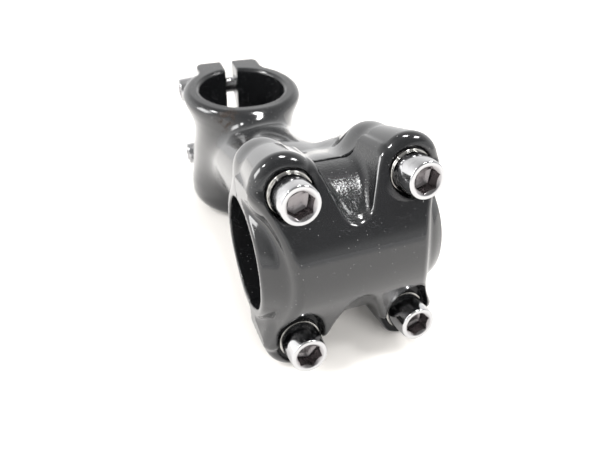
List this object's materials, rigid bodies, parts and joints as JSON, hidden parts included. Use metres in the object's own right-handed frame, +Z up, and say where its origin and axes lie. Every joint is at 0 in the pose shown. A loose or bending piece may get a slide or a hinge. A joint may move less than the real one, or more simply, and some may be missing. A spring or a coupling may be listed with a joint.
{
  "type": "bicycle handlebar stem",
  "caption": "Threadless bicycle stem that holds a handlebar on a fork steerer, with a slotted pinch clamp behind and a bolted faceplate in front.",
  "frame": {"origin": "on the steerer clamp's lower land, the flat ring that rests on the headset, 16.35 mm straight ahead of the steerer axis", "axes": "+Z up the steerer axis, -Y forward to the handlebar, X along the handlebar"},
  "size_m": [0.0416, 0.1235, 0.0672],
  "materials": {
    "black_paint": "gloss black paint on forged aluminium",
    "chrome_plate": "polished chrome plate on steel"
  },
  "bodies": {
    "stem": {"stem_body": "black_paint"},
    "faceplate": {"faceplate": "black_paint"},
    "washer_upper_left": {"faceplate_washer_upper_left": "chrome_plate"},
    "bolt_upper_left": {"faceplate_bolt_upper_left": "chrome_plate"},
    "washer_upper_right": {"faceplate_washer_upper_right": "chrome_plate"},
    "bolt_upper_right": {"faceplate_bolt_upper_right": "chrome_plate"},
    "washer_lower_left": {"faceplate_washer_lower_left": "chrome_plate"},
    "bolt_lower_left": {"faceplate_bolt_lower_left": "chrome_plate"},
    "washer_lower_right": {"faceplate_washer_lower_right": "chrome_plate"},
    "bolt_lower_right": {"faceplate_bolt_lower_right": "chrome_plate"},
    "pinch_washer_upper": {"pinch_washer_upper": "chrome_plate"},
    "pinch_bolt_upper": {"pinch_bolt_upper": "chrome_plate"},
    "pinch_washer_lower": {"pinch_washer_lower": "chrome_plate"},
    "pinch_bolt_lower": {"pinch_bolt_lower": "chrome_plate"}
  },
  "joints": [
    {"name": "faceplate_lift", "type": "slide", "parent": "stem", "child": "faceplate", "axis": [0, -0.9659, 0.2588], "range_m": [0, 0.03]},
    {"name": "washer_upper_left_travel", "type": "slide", "parent": "faceplate", "child": "washer_upper_left", "axis": [0, -0.9659, 0.2588], "range_m": [0, 0.007]},
    {"name": "bolt_upper_left_turn", "type": "hinge", "parent": "washer_upper_left", "child": "bolt_upper_left", "pos_m": [-0.013, -0.05647, 0.05692], "axis": [0, -0.9659, 0.2588], "range_deg": [0, 2520]},
    {"name": "washer_upper_right_travel", "type": "slide", "parent": "faceplate", "child": "washer_upper_right", "axis": [0, -0.9659, 0.2588], "range_m": [0, 0.007]},
    {"name": "bolt_upper_right_turn", "type": "hinge", "parent": "washer_upper_right", "child": "bolt_upper_right", "pos_m": [0.013, -0.05647, 0.05692], "axis": [0, -0.9659, 0.2588], "range_deg": [0, 2520]},
    {"name": "washer_lower_left_travel", "type": "slide", "parent": "faceplate", "child": "washer_lower_left", "axis": [0, -0.9659, 0.2588], "range_m": [0, 0.007]},
    {"name": "bolt_lower_left_turn", "type": "hinge", "parent": "washer_lower_left", "child": "bolt_lower_left", "pos_m": [-0.013, -0.06538, 0.02369], "axis": [0, -0.9659, 0.2588], "range_deg": [0, 2520]},
    {"name": "washer_lower_right_travel", "type": "slide", "parent": "faceplate", "child": "washer_lower_right", "axis": [0, -0.9659, 0.2588], "range_m": [0, 0.007]},
    {"name": "bolt_lower_right_turn", "type": "hinge", "parent": "washer_lower_right", "child": "bolt_lower_right", "pos_m": [0.013, -0.06538, 0.02369], "axis": [0, -0.9659, 0.2588], "range_deg": [0, 2520]},
    {"name": "pinch_washer_upper_travel", "type": "slide", "parent": "stem", "child": "pinch_washer_upper", "axis": [-1, 0, 0], "range_m": [0, 0.007]},
    {"name": "pinch_bolt_upper_turn", "type": "hinge", "parent": "pinch_washer_upper", "child": "pinch_bolt_upper", "pos_m": [-0.0115, 0.03455, 0.0345], "axis": [-1, 0, 0], "range_deg": [0, 2520]},
    {"name": "pinch_washer_lower_travel", "type": "slide", "parent": "stem", "child": "pinch_washer_lower", "axis": [-1, 0, 0], "range_m": [0, 0.007]},
    {"name": "pinch_bolt_lower_turn", "type": "hinge", "parent": "pinch_washer_lower", "child": "pinch_bolt_lower", "pos_m": [-0.0115, 0.03455, 0.0075], "axis": [-1, 0, 0], "range_deg": [0, 2520]}
  ],
  "couplings": [
    {"joint": "bolt_upper_left_turn", "follows": "washer_upper_left_travel", "rad_per_m": 6283.2},
    {"joint": "bolt_upper_right_turn", "follows": "washer_upper_right_travel", "rad_per_m": 6283.2},
    {"joint": "bolt_lower_left_turn", "follows": "washer_lower_left_travel", "rad_per_m": 6283.2},
    {"joint": "bolt_lower_right_turn", "follows": "washer_lower_right_travel", "rad_per_m": 6283.2},
    {"joint": "pinch_bolt_upper_turn", "follows": "pinch_washer_upper_travel", "rad_per_m": 6283.2},
    {"joint": "pinch_bolt_lower_turn", "follows": "pinch_washer_lower_travel", "rad_per_m": 6283.2}
  ]
}
